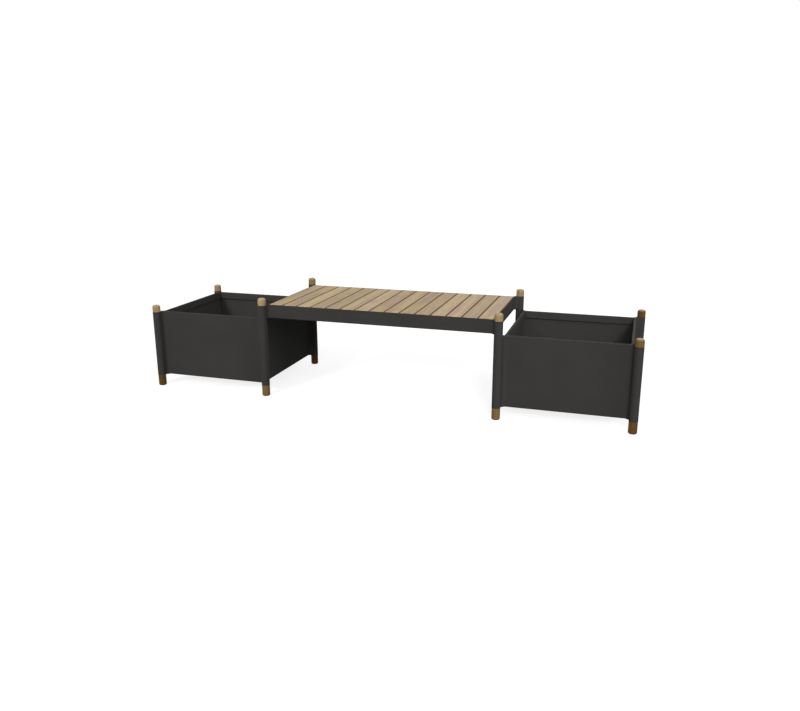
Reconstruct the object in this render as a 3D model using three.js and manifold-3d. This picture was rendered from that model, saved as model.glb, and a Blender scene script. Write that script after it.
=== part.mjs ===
// A slatted bench that stands between two square planters.
// Millimetres, +Z up, +X along the bench, -Y towards the front.
// The origin is on the ground, under the middle.
import * as THREE from 'three';
import { mergeVertices } from 'three/addons/utils/BufferGeometryUtils.js';
import Module from 'manifold-3d';

const wasm = await Module();
wasm.setup();

// Layout, between post centres
const benchSpan = 1160;
const planterSpan = 600;
const depthSpan = 600;

// Heights above the ground
const footHeight = 56;
const seatHeight = 460;

// Clearances, and the overrun that lets a cut pass both faces
const fitGap = 0.3;
const overrun = 5;

// Posts: round aluminium tube
const postDiameter = 40;
const postWall = 2;
const postFacets = 28;

// Turned caps and feet, plugged into the tubes
const turningStep = 0.5;
const capHeight = 36;
const capShoulder = 11;
const capCrown = 1.2;
const capTopRadius = 9;
const footRound = 7;
const tenonLength = 20;
const tenonChamfer = 1.5;
const turningFacets = 24;
const capArcSteps = 4;
const footArcSteps = 3;

// Folded sheet, set back from the post centres on each side
const faceInset = 22;
const sweepSteps = 5;
const wrapSteps = 4;
const panelSheet = 2.5;
const rimWidth = 12;
const rimDrop = 35;
const panelFootFold = 22;

// Seat rails
const railSheet = 3;
const railHeight = 66;
const railAboveRim = 4;
const railFootFold = 20;
const ledgeWidth = 32;

// Slats, which stand a little proud of the rails
const slatCount = 15;
const slatThickness = 20;
const slatProud = 1.5;
const slatGap = 7;
const slatEndGap = 4;
const slatTipGap = 1.5;
const slatArris = 1.5;
const slatArrisSteps = 2;

// Bearers across the frame, under the slats
const bearerWidth = 35;
const bearerHeight = 25;
const bearerWall = 2;
const bearerPlaceShares = [-0.17, 0.17];

// Planter floors: an inverted pan with drain holes
const floorSheet = 2;
const floorTurnDown = 25;
const floorMargin = 1.5;
const drainDiameter = 14;
const drainFacets = 12;
const drainPlaceShares = [[0, 0], [-0.3, -0.3], [0.3, -0.3], [-0.3, 0.3], [0.3, 0.3]];

// Corner angles in the planters and braces under the seat, welded to the posts by stubs
const angleSheet = 2;
const braceSheet = 3;
const braceWing = 14;
const braceSetOut = 4;
const braceLift = 4;
const stubGap = 0.6;
const stubFacets = 8;
const angleStubShares = [0.15, 0.85];

const postRadius = postDiameter / 2;
const boreRadius = postRadius - postWall;
const woodRadius = postRadius - turningStep;
const tenonRadius = boreRadius - fitGap;
const notchRadius = postRadius + fitGap;
const sweepCentre = postRadius + faceInset;
const mitreSet = fitGap / Math.SQRT2;
const stubRadius = sweepCentre / Math.SQRT2 - faceInset - Math.max(panelSheet, railSheet) - stubGap;
const slatBottom = seatHeight + slatProud - slatThickness;
const ledgeTop = slatBottom - fitGap;
const railBottom = seatHeight - railHeight;
const rimHeight = railBottom - railAboveRim;
const floorBottom = footHeight + panelSheet + fitGap;
const floorTop = floorBottom + floorTurnDown;

const metal = { color: '#3d3b39', roughness: 0.55, metalness: 0.35 };
const timber = { color: '#b59a76', roughness: 0.75, metalness: 0 };
const turnedTimber = { color: '#b08d5d', roughness: 0.7, metalness: 0 };

// A closed geometry as a solid: shared vertices merged, flat triangles at poles dropped
function solidFrom(geometry) {
  const bare = geometry.clone();
  bare.deleteAttribute('normal');
  bare.deleteAttribute('uv');
  const merged = mergeVertices(bare);
  const index = merged.index.array;
  const kept = [];
  for (let i = 0; i < index.length; i += 3) {
    const [a, b, c] = [index[i], index[i + 1], index[i + 2]];
    if (a !== b && b !== c && c !== a) kept.push(a, b, c);
  }
  return new wasm.Manifold(new wasm.Mesh({
    numProp: 3,
    vertProperties: new Float32Array(merged.attributes.position.array),
    triVerts: new Uint32Array(kept),
  }));
}

function geometryFrom(solid) {
  const mesh = solid.getMesh();
  const geometry = new THREE.BufferGeometry();
  geometry.setAttribute('position', new THREE.BufferAttribute(mesh.vertProperties, 3));
  geometry.setIndex(new THREE.BufferAttribute(mesh.triVerts, 1));
  const faceted = geometry.toNonIndexed();
  faceted.computeVertexNormals();
  return faceted;
}

const root = new THREE.Group();

// Adds a named piece, placed at x, y, z and turned about the vertical
function addPiece(name, geometry, finish, place = [0, 0, 0], turn = 0) {
  const mesh = new THREE.Mesh(geometry, new THREE.MeshStandardMaterial(finish));
  mesh.name = name;
  mesh.position.set(...place);
  mesh.rotation.z = turn;
  root.add(mesh);
}

// A plan outline raised from z = low to z = high
function prism(outline, low, high) {
  const shape = new THREE.Shape(outline.map(([x, y]) => new THREE.Vector2(x, y)));
  const geometry = new THREE.ExtrudeGeometry(shape, { depth: high - low, bevelEnabled: false });
  return solidFrom(geometry.translate(0, 0, low));
}

// A profile of [radius, height] points turned about the vertical
function turned(profile, facets) {
  const points = profile.map(([r, z]) => new THREE.Vector2(r, z));
  return new THREE.LatheGeometry(points, facets).rotateX(Math.PI / 2);
}

// A round rod along a direction in the level plane, from one distance off the axis to another
function levelRod(radius, from, to, angle, height, facets) {
  const rod = new THREE.CylinderGeometry(radius, radius, to - from, facets);
  rod.rotateZ(-Math.PI / 2).translate((from + to) / 2, 0, 0);
  return rod.rotateZ(angle).translate(0, 0, height);
}

function arcPoints(centre, radius, start, end, steps) {
  const points = [];
  for (let i = 0; i <= steps; i++) {
    const angle = start + (end - start) * i / steps;
    points.push([centre[0] + radius * Math.cos(angle), centre[1] + radius * Math.sin(angle)]);
  }
  return points;
}

// Side sheets in plan: x is measured from a post along the sheet, y inwards from the line of post centres.
// Each upright end leaves the flat in a quarter round, the sweep, and meets the side of its post.
// This is where the sweep, at one depth into the sheet, runs into the notch round the post.
function sweepMeets(depth) {
  const radius = faceInset + depth;
  const x = (sweepCentre ** 2 + notchRadius ** 2 - radius ** 2) / (2 * sweepCentre);
  return [x, Math.sqrt(notchRadius ** 2 - x ** 2)];
}

// The sweep at one depth into the sheet, from the post to the flat
function sweep(depth) {
  const [x, y] = sweepMeets(depth);
  const start = Math.atan2(y, x - sweepCentre);
  return arcPoints([sweepCentre, 0], faceInset + depth, start, Math.PI / 2, sweepSteps);
}

// Turns points that are measured from the left post into points from the middle, at one end or the other
const atLeft = (span) => ([x, y]) => [x - span / 2, y];
const atRight = (span) => ([x, y]) => [span / 2 - x, y];

function skinOutline(span, sheet) {
  const outer = sweep(0);
  const inner = sweep(sheet);
  return [
    ...outer.map(atLeft(span)),
    ...outer.map(atRight(span)).reverse(),
    ...inner.map(atRight(span)),
    ...inner.map(atLeft(span)).reverse(),
  ];
}

// A level fold: it starts inside the sheet, is notched round the posts and mitred at the corners
function foldOutline(span, sheet, width) {
  const back = sweep(sheet / 2);
  const inner = faceInset + width;
  const notchEnd = Math.acos(mitreSet / (notchRadius * Math.SQRT2)) - Math.PI / 4;
  const [meetX, meetY] = sweepMeets(sheet / 2);
  const notchStart = Math.atan2(meetY, meetX);
  const notch = arcPoints([0, 0], notchRadius, notchEnd, notchStart, wrapSteps).slice(0, -1);
  const end = [[inner + mitreSet, inner], ...notch, ...back];
  return [...end.map(atLeft(span)), ...end.map(atRight(span)).reverse()];
}

function lipOutline(span, sheet, width) {
  const inner = faceInset + width;
  const outer = inner - sheet;
  const end = [[inner + mitreSet, inner], [outer + mitreSet, outer]];
  return [...end.map(atLeft(span)), ...end.map(atRight(span)).reverse()];
}

// A planter side: its rim folds inwards and down, and a lower fold carries the floor
function planterPanel(span) {
  const rimFold = foldOutline(span, panelSheet, rimWidth);
  const footFold = foldOutline(span, panelSheet, panelFootFold);
  const skin = prism(skinOutline(span, panelSheet), footHeight, rimHeight);
  const rim = prism(rimFold, rimHeight - panelSheet, rimHeight);
  const lip = prism(lipOutline(span, panelSheet, rimWidth), rimHeight - rimDrop, rimHeight - panelSheet / 2);
  const foot = prism(footFold, footHeight, footHeight + panelSheet);
  return geometryFrom(skin.add(rim).add(lip).add(foot));
}

// The long rails have a ledge that carries the slats' ends
function seatRail(span, hasLedge) {
  const skin = prism(skinOutline(span, railSheet), railBottom, seatHeight);
  const foot = prism(foldOutline(span, railSheet, railFootFold), railBottom, railBottom + railSheet);
  const rail = skin.add(foot);
  if (!hasLedge) return geometryFrom(rail);
  const ledge = prism(foldOutline(span, railSheet, ledgeWidth), ledgeTop - railSheet, ledgeTop);
  return geometryFrom(rail.add(ledge));
}

function turnedCap() {
  const side = capHeight - capCrown - capShoulder;
  const profile = [
    [0, -tenonLength],
    [tenonRadius - tenonChamfer, -tenonLength],
    [tenonRadius, tenonChamfer - tenonLength],
    [tenonRadius, fitGap],
    [woodRadius, fitGap],
  ];
  for (let i = 0; i <= capArcSteps; i++) {
    const angle = Math.PI / 2 * i / capArcSteps;
    profile.push([
      woodRadius - capTopRadius * (1 - Math.cos(angle)),
      side + capShoulder * Math.sin(angle),
    ]);
  }
  profile.push([0, capHeight]);
  return turned(profile, turningFacets);
}

function turnedFoot() {
  const profile = [[0, 0]];
  for (let i = 0; i <= footArcSteps; i++) {
    const angle = Math.PI / 2 * i / footArcSteps;
    profile.push([woodRadius - footRound * (1 - Math.sin(angle)), footRound * (1 - Math.cos(angle))]);
  }
  profile.push(
    [woodRadius, footHeight - fitGap],
    [tenonRadius, footHeight - fitGap],
    [tenonRadius, footHeight + tenonLength - tenonChamfer],
    [tenonRadius - tenonChamfer, footHeight + tenonLength],
    [0, footHeight + tenonLength],
  );
  return turned(profile, turningFacets);
}

// A stub from the post towards a corner, level and at 45 degrees
function cornerStub(reach, height) {
  return solidFrom(levelRod(stubRadius, postRadius - postWall / 2, reach, Math.PI / 4, height, stubFacets));
}

// An angle that closes a corner, in plan: x and y run along the two side sheets, and the post is at the origin
function cornerAngle(sheet, low, high) {
  const face = faceInset + sheet + fitGap;
  const tip = sweepCentre + braceSetOut + braceWing;
  const innerFace = face + angleSheet;
  const plate = prism([
    [tip, face],
    [tip, innerFace],
    [innerFace, innerFace],
    [innerFace, tip],
    [face, tip],
    [face, face],
  ], low, high);
  const reach = (face + angleSheet / 2) * Math.SQRT2;
  const stubs = angleStubShares.map((share) => cornerStub(reach, low + share * (high - low)));
  return stubs.reduce((whole, stub) => whole.add(stub), plate);
}

// A brace in the same plan: its wings lie against the sheets, and between them it crosses the corner
function cornerBrace(sheet, low, high) {
  const face = faceInset + sheet + fitGap;
  const bend = sweepCentre + braceSetOut;
  const tip = bend + braceWing;
  const innerFace = face + braceSheet;
  const innerBend = bend + braceSheet * (Math.SQRT2 - 1);
  const plate = prism([
    [tip, face],
    [tip, innerFace],
    [innerBend, innerFace],
    [innerFace, innerBend],
    [innerFace, tip],
    [face, tip],
    [face, bend],
    [bend, face],
  ], low, high);
  const reach = (face + bend) / Math.SQRT2 + braceSheet / 2;
  return plate.add(cornerStub(reach, (low + high) / 2));
}

// A tube from the foot to its top, with the braces that look along the given angles
function bracedPost(top, braces) {
  const profile = [
    [boreRadius, footHeight],
    [postRadius, footHeight],
    [postRadius, top],
    [boreRadius, top],
    [boreRadius, footHeight],
  ];
  let post = solidFrom(turned(profile, postFacets));
  for (const { angle, shape, sheet, low, high } of braces) {
    const turn = THREE.MathUtils.radToDeg(angle - Math.PI / 4);
    post = post.add(shape(sheet, low, high).rotate([0, 0, turn]));
  }
  return geometryFrom(post);
}

// A rectangle about the origin, as a shape or as a hole in one
function rectangle(width, height, Kind = THREE.Shape) {
  const [x, y] = [width / 2, height / 2];
  return new Kind([[-x, -y], [x, -y], [x, y], [-x, y]].map(([px, py]) => new THREE.Vector2(px, py)));
}

// A board with its long edges and ends rounded over
function slat(width, length) {
  const geometry = new THREE.ExtrudeGeometry(rectangle(width, length), {
    depth: slatThickness - 2 * slatArris,
    bevelSize: slatArris,
    bevelThickness: slatArris,
    bevelOffset: -slatArris,
    bevelSegments: slatArrisSteps,
  });
  return geometryFrom(solidFrom(geometry.translate(0, 0, slatArris)));
}

// A rectangular tube lying along X, open at both ends
function bearer(length) {
  const section = rectangle(bearerWidth, bearerHeight);
  section.holes.push(rectangle(bearerWidth - 2 * bearerWall, bearerHeight - 2 * bearerWall, THREE.Path));
  const geometry = new THREE.ExtrudeGeometry(section, { depth: length, bevelEnabled: false });
  return geometry.translate(0, 0, -length / 2).rotateX(Math.PI / 2).rotateZ(Math.PI / 2);
}

// An inverted pan that stands on the sides' lower folds
function floorPan() {
  const edge = 2 * (faceInset + panelSheet + floorMargin);
  const [width, depth] = [planterSpan - edge, depthSpan - edge];
  const block = (inset, low, high) => {
    const [x, y] = [width / 2 - inset, depth / 2 - inset];
    return prism([[-x, -y], [x, -y], [x, y], [-x, y]], low, high);
  };
  let pan = block(0, floorBottom, floorTop);
  pan = pan.subtract(block(floorSheet, floorBottom - overrun, floorTop - floorSheet));
  for (const [shareX, shareY] of drainPlaceShares) {
    const drill = new THREE.CylinderGeometry(drainDiameter / 2, drainDiameter / 2, 2 * overrun, drainFacets);
    drill.rotateX(Math.PI / 2).translate(shareX * planterSpan, shareY * depthSpan, floorTop);
    pan = pan.subtract(solidFrom(drill));
  }
  return geometryFrom(pan);
}

const planterMiddle = (benchSpan + planterSpan) / 2;

// A planter's angle runs from just above its floor to just under the rims
function planterAngle(angle) {
  return {
    angle,
    shape: cornerAngle,
    sheet: panelSheet,
    low: floorTop + braceLift,
    high: rimHeight - panelSheet - braceLift,
  };
}

// The seat's brace fills the space between a rail's lower fold and its ledge
function seatBrace(angle) {
  return {
    angle,
    shape: cornerBrace,
    sheet: railSheet,
    low: railBottom + railSheet + braceLift,
    high: ledgeTop - railSheet - braceLift,
  };
}

// Posts with their caps and feet
for (const [side, sx] of [['left', -1], ['right', 1]]) {
  for (const [end, sy] of [['front', -1], ['back', 1]]) {
    const y = sy * depthSpan / 2;
    const outerX = sx * (benchSpan / 2 + planterSpan);
    const innerX = sx * benchSpan / 2;
    const inwards = Math.atan2(-sy, -sx);
    const outwards = Math.atan2(-sy, sx);
    const outer = bracedPost(rimHeight, [planterAngle(inwards)]);
    const inner = bracedPost(seatHeight, [planterAngle(outwards), seatBrace(inwards)]);
    addPiece(`post_${side}_outer_${end}`, outer, metal, [outerX, y, 0]);
    addPiece(`post_${side}_inner_${end}`, inner, metal, [innerX, y, 0]);
    addPiece(`cap_${side}_outer_${end}`, turnedCap(), turnedTimber, [outerX, y, rimHeight]);
    addPiece(`cap_${side}_inner_${end}`, turnedCap(), turnedTimber, [innerX, y, seatHeight]);
    addPiece(`foot_${side}_outer_${end}`, turnedFoot(), turnedTimber, [outerX, y, 0]);
    addPiece(`foot_${side}_inner_${end}`, turnedFoot(), turnedTimber, [innerX, y, 0]);
  }
}

// Planter sides and floors
for (const [side, sx] of [['left', -1], ['right', 1]]) {
  const middle = sx * planterMiddle;
  const outerX = middle + sx * planterSpan / 2;
  const innerX = middle - sx * planterSpan / 2;
  addPiece(`panel_${side}_front`, planterPanel(planterSpan), metal, [middle, -depthSpan / 2, 0]);
  addPiece(`panel_${side}_back`, planterPanel(planterSpan), metal, [middle, depthSpan / 2, 0], Math.PI);
  addPiece(`panel_${side}_outer`, planterPanel(depthSpan), metal, [outerX, 0, 0], sx * Math.PI / 2);
  addPiece(`panel_${side}_inner`, planterPanel(depthSpan), metal, [innerX, 0, 0], -sx * Math.PI / 2);
  addPiece(`floor_${side}`, floorPan(), metal, [middle, 0, 0]);
}

// Seat frame
addPiece('rail_front', seatRail(benchSpan, true), metal, [0, -depthSpan / 2, 0]);
addPiece('rail_back', seatRail(benchSpan, true), metal, [0, depthSpan / 2, 0], Math.PI);
addPiece('rail_left', seatRail(depthSpan, false), metal, [-benchSpan / 2, 0, 0], -Math.PI / 2);
addPiece('rail_right', seatRail(depthSpan, false), metal, [benchSpan / 2, 0, 0], Math.PI / 2);

const seatLength = benchSpan - 2 * (faceInset + railSheet);
const seatDepth = depthSpan - 2 * (faceInset + railSheet);
for (const [index, share] of bearerPlaceShares.entries()) {
  const place = [0, share * depthSpan, ledgeTop - bearerHeight / 2];
  addPiece(`bearer_${['front', 'back'][index]}`, bearer(seatLength - 2 * fitGap), metal, place);
}

// Slats, spread evenly between the end rails
const slatWidth = (seatLength - 2 * slatEndGap - (slatCount - 1) * slatGap) / slatCount;
for (let i = 0; i < slatCount; i++) {
  const x = (i - (slatCount - 1) / 2) * (slatWidth + slatGap);
  const name = `slat_${String(i + 1).padStart(2, '0')}`;
  addPiece(name, slat(slatWidth, seatDepth - 2 * slatTipGap), timber, [x, 0, slatBottom]);
}

export default root;
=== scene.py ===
import math
import random
import bpy
import bmesh
from mathutils import Matrix, Vector


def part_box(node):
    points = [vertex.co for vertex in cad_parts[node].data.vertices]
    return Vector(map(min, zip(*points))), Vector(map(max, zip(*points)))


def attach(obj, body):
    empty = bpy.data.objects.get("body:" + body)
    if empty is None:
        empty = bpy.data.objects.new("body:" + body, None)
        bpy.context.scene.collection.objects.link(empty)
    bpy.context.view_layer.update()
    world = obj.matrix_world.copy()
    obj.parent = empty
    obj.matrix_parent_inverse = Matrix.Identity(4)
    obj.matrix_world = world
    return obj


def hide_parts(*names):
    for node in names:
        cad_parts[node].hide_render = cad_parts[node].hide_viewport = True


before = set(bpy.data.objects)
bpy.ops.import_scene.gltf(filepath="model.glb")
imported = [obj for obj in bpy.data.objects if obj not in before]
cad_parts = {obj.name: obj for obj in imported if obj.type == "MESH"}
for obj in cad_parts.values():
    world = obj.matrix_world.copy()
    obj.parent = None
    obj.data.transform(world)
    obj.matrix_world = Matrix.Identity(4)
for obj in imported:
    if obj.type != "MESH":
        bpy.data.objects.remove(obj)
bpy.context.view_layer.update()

mm = 0.001
quarter = math.pi / 2
benchSides = ("left", "right")
benchEnds = ("front", "back")
postKeys = [f"{side}_{row}_{end}" for side in benchSides for row in ("outer", "inner") for end in benchEnds]


def nodeMiddle(name):
    low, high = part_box(name)
    return (Vector(low) + Vector(high)) / 2


# the feet are round, so the middle of each is its post's axis
postPlace = {key: nodeMiddle(f"foot_{key}").xy for key in postKeys}


# nodes

def addNode(tree, kind, inputs=None, **settings):
    made = tree.nodes.new(kind)
    for name, value in settings.items():
        setattr(made, name, value)
    for key, value in (inputs or {}).items():
        if isinstance(value, bpy.types.NodeSocket):
            tree.links.new(value, made.inputs[key])
        else:
            made.inputs[key].default_value = value
    return made


def output(tree, kind, inputs=None, **settings):
    return addNode(tree, kind, inputs, **settings).outputs[0]


def calc(tree, operation, a, b=0.0, clamp=False):
    return output(tree, "ShaderNodeMath", {0: a, 1: b}, operation=operation, use_clamp=clamp)


def plus(tree, a, b):
    return calc(tree, "ADD", a, b)


def minus(tree, a, b):
    return calc(tree, "SUBTRACT", a, b)


def times(tree, a, b, clamp=False):
    return calc(tree, "MULTIPLY", a, b, clamp)


def vectorCalc(tree, operation, a, b=(0, 0, 0), socket=0):
    return addNode(tree, "ShaderNodeVectorMath", {0: a, 1: b}, operation=operation).outputs[socket]


def between(tree, value, low, high, toLow=0.0, toHigh=1.0):
    return output(tree, "ShaderNodeMapRange", {0: value, 1: low, 2: high, 3: toLow, 4: toHigh})


def noise(tree, place, scale, detail, roughness=0.5, socket=0):
    return addNode(tree, "ShaderNodeTexNoise", {
        "Vector": place, "Scale": scale, "Detail": detail, "Roughness": roughness}).outputs[socket]


def blend(tree, factor, a, b, mode="MIX"):
    made = addNode(tree, "ShaderNodeMix", {0: factor, 6: a, 7: b}, data_type="RGBA", blend_type=mode)
    return made.outputs[2]


def rgb(red, green, blue):
    # from the 0 to 255 that a picture holds to linear light
    shares = (red / 255, green / 255, blue / 255)
    return (*[c / 12.92 if c <= 0.04045 else ((c + 0.055) / 1.055) ** 2.4 for c in shares], 1.0)


def dimmed(colour, share):
    return [channel * share for channel in colour[:3]] + [1.0]


def ramp(tree, factor, stops):
    made = addNode(tree, "ShaderNodeValToRGB", {0: factor})
    points = made.color_ramp.elements
    while len(points) < len(stops):
        points.new(0.5)
    for point, (place, colour) in zip(points, stops):
        point.position = place
        point.color = rgb(*colour)
    return made.outputs[0]


def newMaterial(name):
    material = bpy.data.materials.new(name)
    material.use_nodes = True
    material.node_tree.nodes.clear()
    return material, material.node_tree


def closeMaterial(tree, shader):
    addNode(tree, "ShaderNodeOutputMaterial", {"Surface": shader})


def finishSurface(tree, colour, rough, height, look):
    bump = output(tree, "ShaderNodeBump", {
        "Height": height, "Distance": look["bumpHeight"], "Strength": look["bumpStrength"]})
    closeMaterial(tree, output(tree, "ShaderNodeBsdfPrincipled", {
        "Base Color": colour, "Roughness": rough, "Normal": bump, **look["shader"]}))


# finishes

coatLook = {
    "colour": (58, 57, 55), "panelShadeDim": 0.97,      # the planters' sheet is the frame's coat dimmed a little, as painted shade
    "clouding": (0.9, 1.1), "cloudLevels": (0.35, 0.95), "grainInClouds": 0.25,
    # what settles and rubs along the folds
    "dust": (70, 68, 65), "dustShare": 0.3, "dustLevels": (0.45, 0.7),
    # scale and detail of the powder's fine texture, its slower orange peel, soft clouds, and where dust holds
    "noises": {"grain": (1100, 2.0), "peel": (260, 1.0), "cloud": (5.0, 3.0), "specks": (90.0, 3.0)},
    "grainRise": 0.7, "peelRise": 0.6,
    "bumpHeight": 0.09 * mm, "bumpStrength": 0.5,
    "roughness": (0.7, 0.84), "roughLevels": (0.6, 1.4),
    "shader": {"Specular IOR Level": 0.03},
}


def powderCoat(name, look, lift=1.0):
    material, tree = newMaterial(name)
    place = addNode(tree, "ShaderNodeTexCoord").outputs["Object"]
    rub = addNode(tree, "ShaderNodeAttribute", attribute_name="rub").outputs["Fac"]
    found = {kind: noise(tree, place, *size) for kind, size in look["noises"].items()}
    grain, cloud = found["grain"], found["cloud"]

    clouded = plus(tree, cloud, times(tree, grain, look["grainInClouds"]))
    shade = between(tree, clouded, *look["cloudLevels"], *look["clouding"])
    colour = blend(tree, 1.0, dimmed(rgb(*look["colour"]), lift), shade, "MULTIPLY")
    worn = times(tree, rub, between(tree, found["specks"], *look["dustLevels"]))
    colour = blend(tree, times(tree, worn, look["dustShare"], True), colour, rgb(*look["dust"]))
    rough = between(tree, plus(tree, grain, cloud), *look["roughLevels"], *look["roughness"])
    height = plus(tree, times(tree, grain, look["grainRise"]), times(tree, found["peel"], look["peelRise"]))
    finishSurface(tree, colour, rough, height, look)
    return material


# what both woods share
timber = {
    # scale, detail, roughness, and how much quicker the noise changes along the grain than the fibres do
    "noises": {
        "wobble": (70, 2.0, 0.55, 1.0), "fibre": (620, 4.0, 0.62, 1.0), "pore": (2600, 2.0, 0.5, 1.6),
        "streak": (38, 2.0, 0.55, 1.0), "patch": (17, 2.0, 0.5, 9.0),
    },
    "shadeLevels": (0.3, 0.7),
    "pithWander": 0.03, "wanderScale": 2.6,
    "ringWobble": 0.9, "lateRise": (0.35, 0.93), "lateFall": (1.0, 0.95),
    "poreLevels": (0.6, 0.72), "poreShare": 0.3, "poreDark": 0.5,
    "fibreRise": 0.8, "poreDepth": 0.5,
    "rougher": 0.08, "smoother": 0.05,
    # painted shade on the boards' sides in the gaps: levels of the sideways normal where it starts and is
    # full, and its share
    "gapShadeLevels": (0.3, 0.8), "gapShadeShare": 0.8,
    # levels of the upward normal where the paler top starts and is full, its share, and how much the rings
    # show on it
    "crownLevels": (0.35, 0.95), "crownShare": 0.7, "crownLate": 0.4,
    "latheScale": 1600, "latheRise": 0.35,      # the marks that the lathe leaves
}
slatLook = {
    "stretch": (1.0, 0.02, 1.0),     # the grain runs along y
    "tones": [(0.0, (162, 143, 117)), (0.5, (169, 150, 122)), (1.0, (183, 163, 134))],   # by board
    "dark": (134, 104, 66),
    # tints that come in patches: the colour, the noise levels where it starts and is full, and its share
    "patches": [((169, 145, 131), 0.5, 0.64, 0.75), ((184, 164, 124), 0.5, 0.36, 0.55)],
    "gapShade": (114, 86, 34),          # painted shade in the gaps between boards: their sides are made darker and browner
    "streak": 0.15, "fibre": 0.07, "late": 0.2,
    "ringSpacing": 4.6 * mm,
    "bumpHeight": 0.12 * mm, "bumpStrength": 0.55,
    "roughness": 0.74,
    "shader": {"Specular IOR Level": 0.08},
}
turnedLook = {
    "stretch": (1.0, 1.0, 0.03),     # and up the turned pieces
    "tones": [(0.0, (166, 141, 104)), (0.4, (129, 107, 69)), (0.7, (101, 73, 33)), (1.0, (62, 33, 14))],
    "dark": (84, 56, 26),
    "patches": [((140, 106, 74), 0.52, 0.72, 0.25)],
    "streak": 0.12, "fibre": 0.08, "late": 0.24,
    # the colour the caps' tops take: partly the end grain's own colour, partly painted light from above
    "litEndGrain": (174, 160, 141),
    "ringSpacing": 3.4 * mm,
    "bumpHeight": 0.1 * mm, "bumpStrength": 0.55,
    "roughness": 0.66,
    "shader": {"Specular IOR Level": 0.08},
}


def hardwood(name, look):
    material, tree = newMaterial(name)
    grain = addNode(tree, "ShaderNodeAttribute", attribute_name="grain").outputs["Vector"]
    tone = addNode(tree, "ShaderNodeAttribute", attribute_name="tone").outputs["Fac"]
    dark = rgb(*look["dark"])
    across = [1.0 if side == 1.0 else 0.0 for side in look["stretch"]]

    def stretched(scale, detail, roughness, quicker):
        size = [side if side == 1.0 else side * quicker for side in look["stretch"]]
        mapped = output(tree, "ShaderNodeMapping", {"Vector": grain, "Scale": size})
        return noise(tree, mapped, scale, detail, roughness)

    def shaded(colour, value, amount):
        level = between(tree, value, *timber["shadeLevels"], 1.0 - amount, 1.0 + amount)
        return blend(tree, 1.0, colour, level, "MULTIPLY")

    found = {kind: stretched(*size) for kind, size in timber["noises"].items()}

    # growth rings round a pith that lies to one side of the piece and wanders slowly along it
    lengthways = [1.0 - side for side in across]
    along = output(tree, "ShaderNodeMapping", {"Vector": grain, "Scale": lengthways})
    wander = noise(tree, along, timber["wanderScale"], 1.0, socket="Color")
    wander = vectorCalc(tree, "SUBTRACT", wander, (0.5, 0.5, 0.5))
    wander = vectorCalc(tree, "MULTIPLY", wander, (timber["pithWander"],) * 3)
    section = vectorCalc(tree, "MULTIPLY", vectorCalc(tree, "ADD", grain, wander), across)
    rings = calc(tree, "DIVIDE", vectorCalc(tree, "LENGTH", section, socket="Value"), look["ringSpacing"])
    ring = calc(tree, "FRACT", plus(tree, rings, times(tree, found["wobble"], timber["ringWobble"])))
    late = times(tree, between(tree, ring, *timber["lateRise"]), between(tree, ring, *timber["lateFall"]))

    colour = ramp(tree, tone, look["tones"])
    for kind in ("streak", "fibre"):
        colour = shaded(colour, found[kind], look[kind])
    for tint, start, full, most in look["patches"]:
        share = times(tree, between(tree, found["patch"], start, full), most)
        colour = blend(tree, share, colour, rgb(*tint))
    colour = blend(tree, times(tree, late, look["late"]), colour, dark)
    pore = between(tree, found["pore"], *timber["poreLevels"])
    colour = blend(tree, times(tree, pore, timber["poreShare"]), colour, dimmed(dark, timber["poreDark"]))
    risen = times(tree, found["fibre"], timber["fibreRise"])
    height = minus(tree, risen, times(tree, pore, timber["poreDepth"]))

    facing = addNode(tree, "ShaderNodeTexCoord").outputs["Normal"]
    sideways, _, upwards = addNode(tree, "ShaderNodeSeparateXYZ", {0: facing}).outputs
    # painted shade in the gaps: faces that turn along x, the boards' sides, are darkened and browned
    if "gapShade" in look:
        gapShade = between(tree, calc(tree, "ABSOLUTE", sideways), *timber["gapShadeLevels"])
        colour = blend(tree, times(tree, gapShade, timber["gapShadeShare"]), colour, rgb(*look["gapShade"]))
    # faces that turn up take the paler end grain: partly the end grain itself, partly painted light from
    # above
    if "litEndGrain" in look:
        crown = between(tree, upwards, *timber["crownLevels"])
        litEnds = blend(tree, times(tree, late, timber["crownLate"]), rgb(*look["litEndGrain"]), dark)
        colour = blend(tree, times(tree, crown, timber["crownShare"]), colour, litEnds)
        upright = addNode(tree, "ShaderNodeSeparateXYZ", {0: grain}).outputs[2]
        marks = output(tree, "ShaderNodeTexNoise", {
            "W": upright, "Scale": timber["latheScale"], "Detail": 1.0}, noise_dimensions="1D")
        height = plus(tree, height, times(tree, marks, timber["latheRise"]))

    roughest, smoothest = look["roughness"] + timber["rougher"], look["roughness"] - timber["smoother"]
    rough = between(tree, found["fibre"], *timber["shadeLevels"], roughest, smoothest)
    finishSurface(tree, colour, rough, height, look)
    return material


steelLook = {
    # levels and roughness: a noise's low and high, then the values there
    "colour": (150, 149, 146), "stained": 0.6, "stainLevels": (0.4, 0.75, 0.0, 0.35),
    "noises": {"brushed": (2400.0, 2.0), "stain": (70.0, 2.0)},
    "roughness": (0.3, 0.7, 0.26, 0.46),
    "bumpHeight": 0.02 * mm, "bumpStrength": 0.4,
    "shader": {"Metallic": 1.0},
}


def stainless(name, look):
    material, tree = newMaterial(name)
    place = addNode(tree, "ShaderNodeTexCoord").outputs["Object"]
    brushed, stain = (noise(tree, place, *look["noises"][kind]) for kind in ("brushed", "stain"))
    base = rgb(*look["colour"])
    colour = blend(tree, between(tree, stain, *look["stainLevels"]), base, dimmed(base, look["stained"]))
    finishSurface(tree, colour, between(tree, brushed, *look["roughness"]), brushed, look)
    return material


frameCoat = powderCoat("frameCoat", coatLook)
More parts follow.
